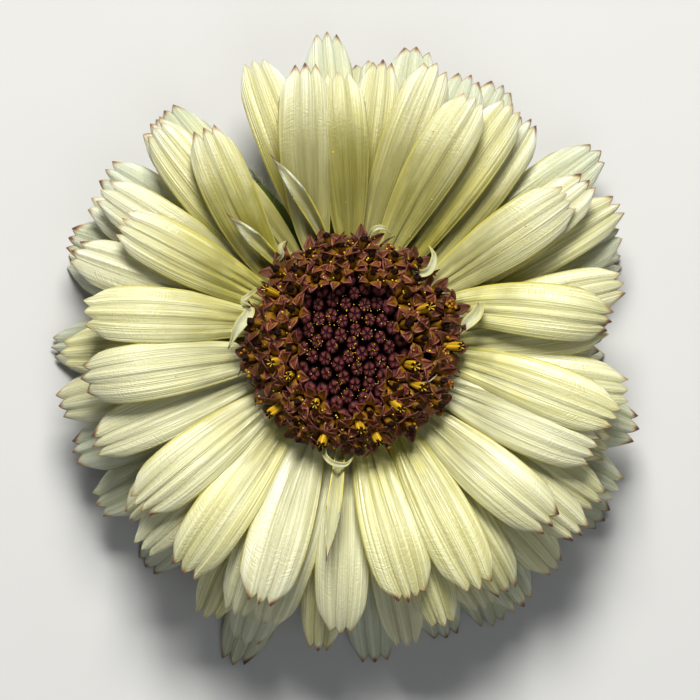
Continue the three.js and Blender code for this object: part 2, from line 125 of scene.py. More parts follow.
# Disc
BUD_COUNT = 76
BUD_SPACING = 0.82
BUD_RADIUS = 0.82
BUD_FIELD_RADIUS = 5.5
BUD_FIELD_TOP = 16.4
FLORET_COUNT = 60
SPIRAL_START = 38
FIRST_FLORET_RADIUS = 6.5
LAST_FLORET_RADIUS = 11
FIRST_LEAN = 18
LAST_LEAN = 58
FIRST_HEAD_HEIGHT = 18.1
LAST_HEAD_HEIGHT = 16.6
DISC_EDGE = 11
DISC_EASE = 5
DISC_SHIFT = 0.5
DISC_SQUEEZE = 0.1
LOBE_REACH = 2.2
THROAT_RADIUS = 0.72
TUBE_LENGTH = 2.7
COROLLA_THICKNESS = 0.13
FALLEN_ANTHERS = 0.12
CLUMP_COUNT = 34
THREAD_COUNT = 46
THREAD_FOOT = 15.6
THREAD_THICKNESS = 0.1
CURL_THICKNESS = 0.16
GRAINS_ON_BUDS = 200

# Florets nearest to these places, in millimetres from the axis, have fresh golden anthers
GOLDEN_PLACES = [
    (-7.8, 5.6), (5.7, -1.5), (3.4, -5.7), (-3.1, -6.8), (7.5, 3.7), (-2.2, -10), (-6.9, -1.7),
    (-6.1, -4.3), (0.9, -8.8), (7, -4.1), (-8.5, -7.1), (3, -10.3), (11.2, -0.9),
]

# Curled leaflets and styles at the edge of the disc: path, width, fold and how brown the end is
CURLS = [
    ([(-11.2, 4.2, 15.4), (-10.8, 3.2, 16.6), (-11.9, 1.6, 17.3), (-12.9, -0.5, 16.6)], 1.2, 0.5, 1),
    ([(-10, 5.6, 15.8), (-10.9, 4.9, 16.9), (-11.4, 4.4, 17.2), (-10.6, 3.9, 17.1)], 0.5, 0.15, 0),
    ([(-7.9, 8.5, 15.8), (-7.3, 9.2, 16.9), (-7.5, 10.1, 17.2), (-7, 10.6, 16.6)], 0.45, 0.15, 0),
    ([(-2.9, -10.6, 16), (-2.8, -11.8, 16.8), (-1.9, -12.6, 16.8), (-0.6, -12.7, 16.2),
      (0.2, -11.8, 15.6)], 0.55, 0.25, 0),
    ([(6.4, 8.1, 16.2), (7, 7.3, 17.3), (8.1, 7.6, 17.7), (8.6, 9, 17.5), (8.1, 10.1, 17)],
     0.8, 0.4, 0.3),
    ([(1.6, 10.6, 16), (2.2, 11.8, 16.9), (3.1, 12.1, 16.9), (4, 11.6, 16.3)], 0.5, 0.2, 0),
    ([(13.4, 4, 15.4), (13, 3, 16.2), (12, 2, 16.4), (11.4, 1, 16)], 1.3, 0.5, 0),
]
THREAD = [(7, -4.1, 17.6), (7.9, -4.1, 18.2), (8.5, -3.7, 18.4), (8.9, -3.3, 18)]

# Stem and involucre
STEM_RADIUS = 2.3
STEM_LENGTH = 3.4
STEM_RIBS = 11
STEM_HAIRS = 260
BRACTS_PER_ROW = 9
# Each row of bracts: height of the root, reach, height of the tip, width and first azimuth
BRACT_ROWS = [(6.5, 19.5, 5.2, 3.2, -1.5), (7.4, 17.5, 6.6, 3, 18.5)]
BRACT_ROOT_RADIUS = 7.4
BRACT_THICKNESS = 0.4
BRACT_HAIRS = 60
SHOWN_BRACT_AZIMUTH = 118.5
SHOWN_BRACT_REACH = 21
SHOWN_BRACT_HAIRS = 170
CUP_OUTER = 8.8
CUP_TOP = 8

# Profiles of the turned pieces: distance from the axis and height
BUD_FIELD_PROFILE = [(0, 14.9), (5.9, 14.9), (5.9, 15.6), (5.5, 15.9), (3.3, 16.1), (0, 16.2)]
DISC_FLOOR_PROFILE = [
    (5.9, 14.9), (9, 14.9), (9.3, 15.3), (9.3, 15.9), (8.9, 16.3), (8.2, 16.5), (7.5, 16.3), (6.7, 15.8),
    (5.9, 15.6), (5.9, 14.9),
]
STEM_PROFILE = [
    (0, 0.12), (1.035, 0.1), (1.15, 0), (2.162, 0), (2.3, 0.12), (2.3, 1.7), (2.3, 3.4), (2.8, 4.2),
    (3.7, 4.7), (7.2, 6.5), (7.4, 6.9), (7.4, 14.6), (0, 14.6),
]
CUP_PROFILE = [
    (2.7, 4.15), (2.9, 4.2), (3.5, 4.35), (4.6, 4.6), (5.5, 4.93), (6.4, 5.25), (7.3, 5.6), (8.1, 5.95),
    (8.55, 6.25), (8.75, 6.6), (8.8, 7), (8.8, 7.6), (8.75, 7.85), (8.6, 8), (8.3, 8), (7.75, 8),
    (7.7, 7.9), (7.7, 6.5), (5.6, 6), (2.7, 4.15),
]

# Petal colours: root, body, warm end, pale end (a random paler tone, and a painted highlight at the ends of
# the rays on the side of the key light), veins (also painted shade in the grooves) and olive side (painted
# shade on the inner part of the rays on that side)
CREAM = [
    (0.33, 0.30, 0.02), (0.83, 0.81, 0.44), (0.785, 0.765, 0.45), (0.855, 0.885, 0.82), (0.42, 0.39, 0.08),
    (0.225, 0.195, 0.022),
]
# A shaded copy of the petal colours for the two lowest whorls, darker and bluer: painted shade under the
# whorls above them
SHADED_CREAM = [
    (0.28, 0.27, 0.04), (0.64, 0.66, 0.43), (0.66, 0.68, 0.5), (0.7, 0.76, 0.68), (0.4, 0.42, 0.2),
    (0.26, 0.25, 0.07),
]

# Camera and floor in millimetres, light in metres
PHOTO_WIDTH = 73.5
PHOTO_CENTRE = Vector((-0.21, -0.735, 0))
FOCUS_HEIGHT = 8
CAMERA_HEIGHT = 2400
FLOOR_GAP = 0.15
LIGHT_DISTANCE = 0.8


# Shared maths

def around(radius, angle, z=0):
    """A point in millimetres from the axis, at an angle in radians."""
    return Vector((radius * cos(angle), radius * sin(angle), z))


def polar(radius, degrees, z=0):
    return around(radius, radians(degrees), z)


def smooth(low, high, value):
    """0 at low and before it, 1 at high and past it, and an easy curve between, rising or falling."""
    share = min(1, max(0, (value - low) / (high - low)))
    return share * share * (3 - 2 * share)


def lerp(a, b, share):
    return a + (b - a) * share


def curve(points, share):
    """A smooth curve through numbers or vectors, a share of the way from the first to the last."""
    last = len(points) - 1
    i = min(int(share * last), last - 1)
    t = share * last - i
    a, b, c, d = points[max(0, i - 1)], points[i], points[i + 1], points[min(last, i + 2)]
    point = 2 * b + (c - a) * t + (2 * a - 5 * b + 4 * c - d) * t * t
    return 0.5 * (point + (3 * b - a - 3 * c + d) * t ** 3)


def whorl_height(heights, radius):
    """Height of a whorl at a distance from the axis."""
    low, high = WHORL_RADII
    return curve(heights, min(1, max(0, (radius - low) / (high - low))))


def width_share(along):
    """Share of its full width that a ray has, a share of the way from its root to its notches."""
    opening = sin(pi / 2 * min(1, along / WIDEST_AT)) ** 1.2
    narrowing = max(0, (along - WIDEST_AT) / (1 - WIDEST_AT)) ** 2.5
    return ROOT_WIDTH_SHARE + (1 - ROOT_WIDTH_SHARE) * opening - END_NARROWING * narrowing


def towards_end(v):
    """Rows of a ray's grid stand closer together near its end."""
    return 1 - (1 - v) ** 1.2


# Making pieces

def layers_of(bm):
    """The UV map and the vertex attributes that the materials read."""
    uv = bm.loops.layers.uv.verify()
    values = {}
    for name in ("tone", "tip", "extra", "groove_shade", "body"):
        values[name] = bm.verts.layers.float.get(name) or bm.verts.layers.float.new(name)
    return uv, values


def place_object(name, data):
    made = bpy.data.objects.new(name, data)
    bpy.context.scene.collection.objects.link(made)
    return made


def mesh_object(name, bm, material):
    mesh = bpy.data.meshes.new(name)
    bm.to_mesh(mesh)
    bm.free()
    mesh.materials.append(material)
    return place_object(name, mesh)


def finish_piece(name, bm, material, replaces=(), thickness=0):
    """A mesh in millimetres from the axis becomes a piece of the flower, in metres."""
    bmesh.ops.transform(bm, matrix=Matrix.Translation(AXIS) @ Matrix.Scale(MM, 4), verts=bm.verts)
    piece = mesh_object(name, bm, material)
    mesh = piece.data
    mesh.polygons.foreach_set("use_smooth", [True] * len(mesh.polygons))
    if thickness:
        shares = piece.vertex_groups.new(name="body")
        for index, share in enumerate(mesh.attributes["body"].data):
            shares.add([index], share.value, "REPLACE")
        wall = piece.modifiers.new("thickness", "SOLIDIFY")
        wall.thickness = thickness * MM
        wall.offset = 0
        wall.vertex_group = shares.name
        wall.thickness_vertex_group = 0.2
    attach(piece, BODY)
    if replaces:
        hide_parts(*replaces)


def grid_patch(bm, across, along, spot, tone=0, extra=0, tip=None, groove_shade=None, seat=None):
    """A grid shaped by a formula: spot(u, v) for u from -1 to 1 and v from 0 to 1, on its seat if any."""
    uv, values = layers_of(bm)
    made = bmesh.ops.create_grid(bm, x_segments=across, y_segments=along, size=1)["verts"]
    places = {vert: (vert.co.x, (vert.co.y + 1) / 2) for vert in made}
    for face in {face for vert in made for face in vert.link_faces}:
        for loop in face.loops:
            u, v = places[loop.vert]
            loop[uv].uv = (u / 2 + 0.5, v)
    for vert, (u, v) in places.items():
        vert[values["tone"]] = tone
        vert[values["extra"]] = extra
        if tip:
            vert[values["tip"]] = tip(u, v)
        if groove_shade:
            vert[values["groove_shade"]] = groove_shade(u, v)
        vert[values["body"]] = 1 - 0.8 * max(smooth(0.75, 1, abs(u)), smooth(0.9, 1, v))
        vert.co = shape_disc(seat @ spot(u, v)) if seat else spot(u, v)


def turned_piece(bm, profile, steps):
    """A profile of (radius, height) points, spun round the axis."""
    layers_of(bm)
    verts = [bm.verts.new((radius, 0, height)) for radius, height in profile]
    edges = [bm.edges.new(pair) for pair in zip(verts, verts[1:])]
    bmesh.ops.spin(
        bm, geom=verts + edges, axis=(0, 0, 1), cent=(0, 0, 0), steps=steps, angle=tau, use_merge=True
    )
    close_up(bm, 1e-4)


def close_up(bm, gap=0.004):
    """Join the seams and turn all faces outwards."""
    bmesh.ops.remove_doubles(bm, verts=bm.verts, dist=gap)
    bmesh.ops.recalc_face_normals(bm, faces=bm.faces)


def where(vert):
    """Distance of a vertex from the axis, and its angle round it."""
    return hypot(vert.co.x, vert.co.y), atan2(vert.co.y, vert.co.x)


def widen(vert, share):
    vert.co.x *= share
    vert.co.y *= share


# Rays

class Ray:
    """One ray: where every point of its surface lies, in millimetres from the axis."""

    def __init__(self, row, heights, index, seed, widening=1, rests=False, stunted=False):
        draw = Random(seed)
        vary = draw.uniform
        self.tip_azimuth, self.reach, self.root_azimuth, width = row[:4]
        self.width = width * widening
        self.teeth = 1 if stunted else row[4] if len(row) > 4 else 3
        self.stunted = stunted
        self.roll = 0 if stunted else radians(ROLL * sin(index * 1.7 + 2))
        self.lift = 0 if stunted else LIFT * sin(index * 2.4 + 1)
        self.tone = vary(-1, 1)
        self.wave_phase = vary(0, tau)
        self.wave_height = vary(0.08, 0.3)
        self.tip_bend = vary(-0.6, 0.3)
        if not rests and draw.random() < BENT_SHARE:
            self.tip_bend = vary(-1.9, -1.1)
        self.browning = vary(0.4, 1)
        # How far the ray lies on that side, with a little at random: the share of painted shade and painted
        # highlight it gets
        on_painted_light_side = max(0, cos(radians(self.tip_azimuth - PAINTED_LIGHT_SIDE)))
        self.olive = on_painted_light_side ** 1.4 * 0.85 + vary(0, 0.15)
        self.length = self.reach - TOOTH_LENGTH - ROOT_START
        self.turns = self.end_line(vary)
        droop = whorl_height(heights, self.reach) + self.lift - REST_HEIGHT if rests else 0
        points = [self.middle_at(step / STATIONS, heights, droop) for step in range(STATIONS + 1)]
        self.frames = []
        for step, point in enumerate(points):
            out = (points[min(STATIONS, step + 1)] - points[max(0, step - 1)]).normalized()
            left = Vector((-out.y, out.x, 0)).normalized()
            self.frames.append((point, out, left, out.cross(left)))

    def end_line(self, vary):
        """Places across the end where it turns: (u, reach past the notch line, brown at this tooth)."""
        if self.teeth == 1:
            return [(-1, -5.5, 0), (0.1, TOOTH_LENGTH, 0.8), (1, -5, 0)]
        aside = vary(-0.1, 0.1)
        spread = END_SPREAD[self.teeth] * vary(0.85, 1.15)
        apart = 2 * spread / (self.teeth - 1)
        turns = [(-1, vary(-3.2, -2.4), 0.1)]
        for tooth in range(self.teeth):
            middle = tooth * apart - spread + aside + vary(-0.04, 0.04)
            if tooth:
                notch = middle - apart / 2 + vary(-0.03, 0.03)
                turns.append((notch, vary(-0.1, 0.5), 0))
            long_tooth = vary(0.85, 1.2) - 0.5 * middle ** 2
            turns.append((middle, TOOTH_LENGTH * long_tooth, vary(0.35, 1)))
        turns.append((1, vary(-3.2, -2.4), 0.1))
        return turns

    def across(self, u):
        """Where grid place u lies across the ray, how far the end runs on there, and the tooth's brown."""
        intervals = len(self.turns) - 1
        place = (u + 1) / 2 * intervals
        i = min(int(place + 1e-6), intervals - 1)
        t = min(1, max(0, place - i))
        left, right = self.turns[i], self.turns[i + 1]
        brown = max(left[2] * (1 - t / 0.7), right[2] * (1 - (1 - t) / 0.7), 0)
        if self.teeth > 1 and i in (0, intervals - 1):
            # The side of the ray curves in to its first tooth
            low, high, t = (left, right, t) if i == 0 else (right, left, 1 - t)
            return lerp(low[0], high[0], t ** 1.4), lerp(low[1], high[1], t ** 0.7), brown
        # A tooth's sides bulge a little before they meet in its point
        bulge = 0.35 * t * (1 - t)
        bulge = t + bulge if right[1] > left[1] else t - bulge
        return lerp(left[0], right[0], t), lerp(left[1], right[1], bulge), brown

    def band_place(self, u):
        """Where u lies among the bands between the notches: a whole number on each groove."""
        edges = [-1] + [turn[0] for turn in self.turns[2:-1:2]] + [1]
        i = sum(u >= edge for edge in edges[1:-1])
        return i + (u - edges[i]) / (edges[i + 1] - edges[i])

    def middle_at(self, along, heights, droop):
        """A point of the ray's middle line, which leaves its root outwards and bends to its tip."""
        root = polar(ROOT_START, self.root_azimuth)
        leaves = polar(ROOT_LEAVES, self.root_azimuth)
        tip = polar(self.reach - TOOTH_LENGTH, self.tip_azimuth)
        pulled = tip.lerp(leaves, TIP_PULL)
        back = 1 - along
        near = root * back ** 3 + leaves * 3 * back ** 2 * along
        point = near + pulled * 3 * back * along ** 2 + tip * along ** 3
        height = whorl_height(heights, hypot(point.x, point.y))
        point.z = height + self.lift * along - droop * along ** 3
        if self.stunted:
            point.z += STUNTED_RISE * min(1, along / 0.4)
        return point

    def spot(self, u, v):
        """The middle of the petal's thickness at grid place u across and v along."""
        u_real, run_on, _ = self.across(u)
        v = towards_end(v)
        along = v * (self.length + run_on * smooth(0.55, 1, v)) / self.length
        inside = min(1, along)
        place = inside * STATIONS
        i = min(int(place), STATIONS - 1)
        t = place - i
        point, out, left, up = (a.lerp(b, t) for a, b in zip(self.frames[i], self.frames[i + 1]))
        turn = Matrix.Rotation(self.roll * inside, 3, out)
        left, up = turn @ left, turn @ up
        point = point + out * (max(0, along - 1) * self.length)
        half = self.width / 2 * width_share(inside) * (STUNTED_NARROWING if self.stunted else 1)
        return point - left * (u_real * half) + up * self.relief(u_real, inside, along)

    def relief(self, u, inside, along):
        """Height of the surface over the flat blade: arch, bands between grooves, fine ridges and waves."""
        if self.stunted:
            fold = 0.8 * abs(u) ** 1.8 * smooth(0.02, 0.3, inside) * (1 - 0.5 * smooth(0.8, 1.05, along))
            return fold - 0.3 + 0.6 * smooth(0.85, 1.05, along)
        swell = abs(sin(pi * self.band_place(u)))
        band = lerp(swell ** 2, swell, smooth(0.6, 0.95, along))
        depth = 0.24 * smooth(0, 0.2, inside) * (1 - 0.6 * smooth(0.25, 0.5, along))
        depth += 0.1 * smooth(0.62, 0.9, along)
        drift = 0.6 * sin(inside * 3 + self.wave_phase)
        ridges = 0.03 * sin(u * 17 + drift) + 0.022 * sin(u * 26 + drift * 2)
        wave = self.wave_height * u * sin(inside * 7 + self.wave_phase) * inside
        sway = 0.12 * sin(inside * 5 + self.wave_phase * 2) * inside
        arch = -ARCH_DEPTH * u * u * inside
        channel = 0.35 * u * u * smooth(0.45, 0.1, inside)
        bend = self.tip_bend * max(0, (along - 0.72) / 0.33) ** 1.6
        return arch + channel + depth * (band - 0.6) + ridges * smooth(0, 0.3, inside) + wave + sway + bend

    def groove_shade(self, u, v):
        """How near the point is to a groove between two bands, towards the end of the ray; the material
        paints shade there.
        """
        if self.stunted:
            return 0
        swell = abs(sin(pi * self.band_place(self.across(u)[0])))
        return (1 - swell) ** 2 * smooth(0.5, 0.9, v) * smooth(0.95, 0.75, abs(u))

    def brown(self, u, v):
        """How brown the point is: the ends of the teeth wither first."""
        _, run_on, strength = self.across(u)
        v = towards_end(v)
        gap = (1 - v) * (self.length + run_on)
        if self.stunted:
            return strength * smooth(1, 0, gap)
        outline = 0.6 * smooth(0.4, 0.05, gap) * smooth(0.95, 0.7, abs(u))
        edge = 0.35 * smooth(0.86, 1, abs(u)) * smooth(0.84, 0.98, v)
        return self.browning * max(strength * smooth(1.3, 0, gap), edge, outline)


def make_whorl(name, material, rows, widening=1, small=()):
    heights, table = WHORLS[name]
    rests = name == RESTING_WHORL
    rays = [Ray(row, heights, i, f"{name} {i}", widening, rests) for i, row in enumerate(table)]
    stunted = [Ray(row, heights, i, f"stunted {i}", stunted=True) for i, row in enumerate(small)]
    bm = bmesh.new()
    for ray in rays + stunted:
        grid_patch(bm, COLUMNS[ray.teeth], rows, ray.spot, ray.tone, ray.olive, ray.brown, ray.groove_shade)
    finish_piece(name + "_petals", bm, material, [name], PETAL_THICKNESS)
    return rays


def make_collars(material):
    """The rings of crowded petal roots round the receptacle, one for each whorl."""
    bm = bmesh.new()
    for heights, _ in WHORLS.values():
        low = heights[0] - COLLAR_HEIGHT / 2
        high = low + COLLAR_HEIGHT
        turned_piece(bm, [
            (COLLAR_INNER, low), (COLLAR_OUTER - 0.2, low), (COLLAR_OUTER, low + 0.25),
            (COLLAR_OUTER, high - 0.25), (COLLAR_OUTER - 0.2, high), (COLLAR_INNER, high),
            (COLLAR_INNER, low),
        ], 96)
    for vert in bm.verts:
        reach, angle = where(vert)
        widen(vert, 1 + 0.02 * cos(angle * 24) * smooth(COLLAR_INNER, COLLAR_OUTER, reach))
    finish_piece("petal_root_rings", bm, material)


# Disc

def shape_disc(point):
    """The bud field is taller than it is wide, and its edge eases into the round edge of the disc."""
    inner = min(1, max(0, (DISC_EDGE - hypot(point.x, point.y)) / DISC_EASE))
    squeeze = DISC_SQUEEZE * inner
    return Vector((point.x * (1 - squeeze) - DISC_SHIFT * inner, point.y * (1 + squeeze), point.z))


def disc_seat(radius, angle, height, lean, spin):
    """Where a floret of the disc stands: its foot along its own axis, leaning outwards."""
    seat = Matrix.Rotation(angle, 4, "Z") @ Matrix.Translation((radius, 0, height))
    return seat @ Matrix.Rotation(lean, 4, "Y") @ Matrix.Rotation(spin, 4, "Z")


def make_ground(name, profile, steps, material, solid):
    """A turned piece under the florets, fitted to the disc."""
    bm = bmesh.new()
    turned_piece(bm, profile, steps)
    for vert in bm.verts:
        vert.co = shape_disc(vert.co)
    finish_piece(name, bm, material, [solid])


def bud_point(u, v, size):
    """A ribbed knob whose five lobes meet in a point."""
    angle = pi * u
    lobe = abs(cos(angle * 2.5))
    if v < 0.45:
        ring = lerp(0.62, 1, smooth(0, 0.45, v))
        z = lerp(-1.3, 0.05, v / 0.45)
    else:
        t = (v - 0.45) / 0.55
        ring = cos(t * pi / 2) ** 0.75
        z = 0.05 + 0.72 * sin(t * pi / 2) - 0.22 * smooth(0.75, 1, t)
    ring = max(ring, 0.05) * (1 - 0.09 * (1 - lobe) ** 2 * smooth(0.2, 0.6, v))
    pinch = 0.12 * lobe ** 2 * smooth(0.55, 0.8, v) * smooth(1, 0.85, v)
    return around(size * ring, angle, size * (z * 1.2 + pinch))


def make_buds(material):
    """Closed florets, which start to open towards the edge of their field."""
    vary = Random("closed buds").uniform
    bm = bmesh.new()
    for index in range(BUD_COUNT):
        radius = BUD_SPACING * sqrt(index + 0.5)
        size = BUD_RADIUS * vary(0.9, 1.1) * (1 + 0.12 * smooth(4.5, 6.5, radius))
        height = BUD_FIELD_TOP + 0.1 - 0.02 * min(radius, 5.2) ** 2 + vary(-0.12, 0.12)
        seat = disc_seat(radius, index * GOLDEN_ANGLE, height, 0.06 * radius, vary(0, tau))
        open_share = smooth(4.2, 6.4, radius) * vary(0.3, 1)
        grid_patch(bm, 30, 14, lambda u, v: bud_point(u, v, size), vary(-1, 1), open_share, seat=seat)
    close_up(bm)
    finish_piece("closed_buds", bm, material, ["disc_buds"])


def floret_seats():
    """The open florets, from the bud field outwards: seat, share of the way out, and their own draw."""
    seats = []
    for index in range(FLORET_COUNT):
        draw = Random(f"floret {index}")
        share = index / (FLORET_COUNT - 1)
        radius = sqrt(lerp(FIRST_FLORET_RADIUS ** 2, LAST_FLORET_RADIUS ** 2, share))
        lean = radians(lerp(FIRST_LEAN, LAST_LEAN, share) + draw.uniform(-9, 9))
        height = lerp(FIRST_HEAD_HEIGHT, LAST_HEAD_HEIGHT, share ** 1.5) + draw.uniform(-0.25, 0.25)
        angle = (index + SPIRAL_START) * GOLDEN_ANGLE
        seats.append((disc_seat(radius, angle, height, lean, draw.uniform(0, tau)), share, draw))
    return seats


def lobe_point(u, v, middle, size, reach, curl, sway):
    """One of a floret's five lobes with its part of the tube and throat, where the lobes still join."""
    if v < 0.5:
        t = v / 0.5
        ring = lerp(0.32, THROAT_RADIUS, smooth(0, 1, t))
        return around(ring, middle + u * pi / 5, lerp(-TUBE_LENGTH, -0.35, t ** 0.8))
    t = (v - 0.5) / 0.5
    ring = lerp(THROAT_RADIUS, reach, t ** 0.9)
    joined = THROAT_RADIUS * sin(pi / 5)
    pointed = 1 - max(0, (t - 0.2) / 0.8) ** 1.25
    half = lerp(joined, 0.72 * size, smooth(0, 0.35, t)) * pointed
    margin = 0.27 * abs(u) ** 1.8 * smooth(0.05, 0.3, t) * (1 - 0.4 * t)
    spoon = -0.35 + 0.55 * sin(min(1, t * 1.15) * pi / 2)
    z = spoon + margin + curl * t ** 2.2 - 0.18 * smooth(0.85, 1, t)
    return around(ring, middle, z) + around(u * half + sway * t ** 2, middle + pi / 2)


def make_corollas(seats, material):
    """Open florets: a tube that widens into five pointed lobes with raised margins."""
    bm = bmesh.new()
    for seat, share, draw in seats:
        vary = draw.uniform
        withered = smooth(0.55, 1, share)
        curl = vary(-0.25, 0.4) * (1 + withered)
        size = lerp(0.88, 1.05, share) * vary(0.92, 1.08)
        for lobe in range(5):
            lobe_curl = curl + vary(-0.2, 0.2) * (1 + 2 * withered)
            reach = LOBE_REACH * size * vary(0.9, 1.08)
            shape = lobe * tau / 5, size, reach, lobe_curl, vary(-0.28, 0.28)
            grid_patch(bm, 6, 12, lambda u, v: lobe_point(u, v, *shape), vary(-1, 1), share, seat=seat)
    finish_piece("open_florets", bm, material, ["disc_florets"], COROLLA_THICKNESS)


def anther_point(u, v, gold, height, width):
    """An anther tube: a gold one ends in a star, and a spent one in a closed crown."""
    angle = pi * u
    rib = cos(angle * 5)
    t = (v - 0.6) / 0.4
    if v < 0.6:
        ring = (1 + 0.1 * rib) * lerp(0.8, 1.05, smooth(0, 0.4, v))
        z = lerp(-1.2, height, v / 0.6)
    elif gold:
        ring = (1 + 0.1 * rib) * lerp(1.05, 0.02, t)
        z = height + 0.12 * max(0, rib) * (1 - t) - 0.3 * smooth(0.15, 0.7, t)
    else:
        ring = (1.05 - t ** 2) * (1 + 0.3 * rib * sin(pi * t))
        z = height + 0.45 * t + 0.1 * sin(angle * 3 + height * 40) * sin(pi * t)
    return around(width * ring, angle, z)


def make_anthers(seats, material):
    """The anther tubes: bright gold, dull with a dark crown, or fallen."""
    places = [shape_disc(seat.translation) for seat, _, _ in seats]
    golden = set()
    for x, y in GOLDEN_PLACES:
        gaps = [hypot(place.x - x, place.y - y) for place in places]
        golden.add(gaps.index(min(gaps)))
    bm = bmesh.new()
    for index, (seat, _, draw) in enumerate(seats):
        gold = 1 if index in golden else 0
        if not gold and draw.random() < FALLEN_ANTHERS:
            continue
        vary = draw.uniform
        height = vary(0.9, 1.35) * (1.3 if gold else 0.62)
        width = vary(0.4, 0.48) if gold else vary(0.3, 0.42)
        shape = gold, height, width
        grid_patch(bm, 20, 12, lambda u, v: anther_point(u, v, *shape), vary(-1, 1), gold, seat=seat)
    close_up(bm)
    finish_piece("anther_tubes", bm, material)


def ribbon(bm, path, width, fold, across, along, tone, brown_end=0):
    """A thin strip along a smooth path, folded into a channel and drawn in to a point at its end."""
    points = [Vector(point) for point in path]

    def middle(v):
        return curve(points, min(v, 0.9999))

    def spot(u, v):
        out = (middle(min(1, v + 0.02)) - middle(max(0, v - 0.02))).normalized()
        left = Vector((-out.y, out.x, 0))
        left = left.normalized() if left.length > 1e-3 else Vector((1, 0, 0))
        belly = 0.55 + 0.45 * sin(pi * min(1, v * 1.3) * 0.75)
        half = width / 2 * belly * smooth(1.02, 0.6, v)
        return middle(v) + left * (u * max(half, 0.03)) + out.cross(left) * (fold * u * u)

    grid_patch(bm, across, along, spot, tone, tip=lambda u, v: brown_end * smooth(0.86, 1, v))


def make_curls(material):
    bm = bmesh.new()
    for path, width, fold, brown_end in CURLS:
        ribbon(bm, path, width, fold, 8, 32, 0.4, brown_end)
    ribbon(bm, THREAD, 0.14, 0, 2, 20, 1)
    finish_piece("curled_leaflets", bm, material, (), CURL_THICKNESS)


def make_threads(material):
    """Withered dark threads that stick out between the roots of the rays."""
    vary = Random("filaments").uniform
    bm = bmesh.new()
    for index in range(THREAD_COUNT):
        azimuth = index * 360 / THREAD_COUNT + vary(-4, 4)
        start = vary(9.6, 10.6)
        length = vary(0.9, 2.2)
        turn = vary(-9, 9)
        rises = [(0, 0.2), (0.35, 0.9), (0.7, 1.1 + vary(-0.4, 0.4)), (1, vary(0, 1.2))]
        path = [
            shape_disc(polar(start + length * share, azimuth + turn * share ** 2, THREAD_FOOT + height))
            for share, height in rises
        ]
        ribbon(bm, path, vary(0.2, 0.6), 0.15, 3, 12, vary(-1, 1))
    finish_piece("withered_threads", bm, material, (), THREAD_THICKNESS)


def make_clumps(material):
    """Crumpled orange anthers of the first florets, round the edge of the disc."""
    draw = Random("clumps")
    vary, bell = draw.uniform, draw.gauss
    bm = bmesh.new()
    layers_of(bm)
    for index in range(CLUMP_COUNT):
        azimuth = index * 360 / CLUMP_COUNT + vary(-5, 5)
        middle = shape_disc(polar(vary(9.6, 11.2), azimuth, vary(16.2, 17.2)))
        for _ in range(draw.choice([5, 8, 12])):
            offset = Vector((bell(0, 0.3), bell(0, 0.3), bell(0, 0.2)))
            size = vary(0.1, 0.24)
            place = Matrix.Translation(middle + offset)
            lump = bmesh.ops.create_uvsphere(bm, u_segments=7, v_segments=5, radius=size, matrix=place)
            for vert in lump["verts"]:
                vert.co += Vector((bell(0, 1), bell(0, 1), bell(0, 1))) * size * 0.16
    finish_piece("orange_clumps", bm, material)


def make_pollen(rays, seats, material):
    """Grains and clumps of pollen on the disc, and a few on the petals near it."""
    draw = Random("pollen")
    vary = draw.uniform
    bm = bmesh.new()
    layers_of(bm)

    def grain(point, size):
        place = Matrix.Translation(point)
        grown = bmesh.ops.create_icosphere(bm, subdivisions=1, radius=size, matrix=place)
        for vert in grown["verts"]:
            vert.co += Vector((vary(-1, 1), vary(-1, 1), vary(-1, 1))) * size * 0.25

    for seat, _, _ in seats:
        for _ in range(draw.choice([2, 3, 5, 9])):
            place = Vector((draw.gauss(0, 0.8), draw.gauss(0, 0.8), vary(-0.2, 0.35)))
            grain(shape_disc(seat @ place), vary(0.04, 0.11))
    for _ in range(GRAINS_ON_BUDS):
        radius = BUD_FIELD_RADIUS * sqrt(draw.random())
        place = polar(radius, vary(0, 360), BUD_FIELD_TOP + 0.85 - 0.02 * radius ** 2)
        grain(shape_disc(place), vary(0.03, 0.065))
    for ray in rays:
        for _ in range(draw.choice([1, 2, 3, 4])):
            v = min(0.95, 0.16 + abs(draw.gauss(0, 0.22)))
            point = ray.spot(vary(-0.85, 0.85), v)
            point.z += PETAL_THICKNESS / 2 + 0.03
            grain(point, vary(0.05, 0.12))
    finish_piece("pollen", bm, material)


# Stem, bracts and hairs

def make_stem(material):
    """The ribbed cut stem and the receptacle that it widens into."""
    bm = bmesh.new()
    turned_piece(bm, STEM_PROFILE, 132)
    _, values = layers_of(bm)
    for vert in bm.verts:
        reach, angle = where(vert)
        on_side = smooth(STEM_RADIUS * 0.6, STEM_RADIUS * 0.95, reach) * smooth(5.5, 3.6, reach)
        widen(vert, 1 - 0.07 * (0.5 - 0.5 * cos(angle * STEM_RIBS)) ** 2 * on_side)
        vert[values["tip"]] = smooth(0.2, 0.02, vert.co.z)
        vert[values["extra"]] = smooth(7, 10, vert.co.z)
    finish_piece("cut_stem", bm, material, ["stem"])


def make_cup(material):
    bm = bmesh.new()
    turned_piece(bm, CUP_PROFILE, 216)
    for vert in bm.verts:
        reach, angle = where(vert)
        outside = smooth(4.2, 7.5, reach) * smooth(CUP_TOP, CUP_TOP - 0.6, vert.co.z)
        bulge = 0.28 * abs(cos(angle * BRACTS_PER_ROW)) ** 0.7 * outside
        vert.co.z -= bulge * smooth(CUP_OUTER, 8.2, reach)
        widen(vert, 1 + 0.02 * bulge)
    finish_piece("involucre_cup", bm, material, ["involucre"])


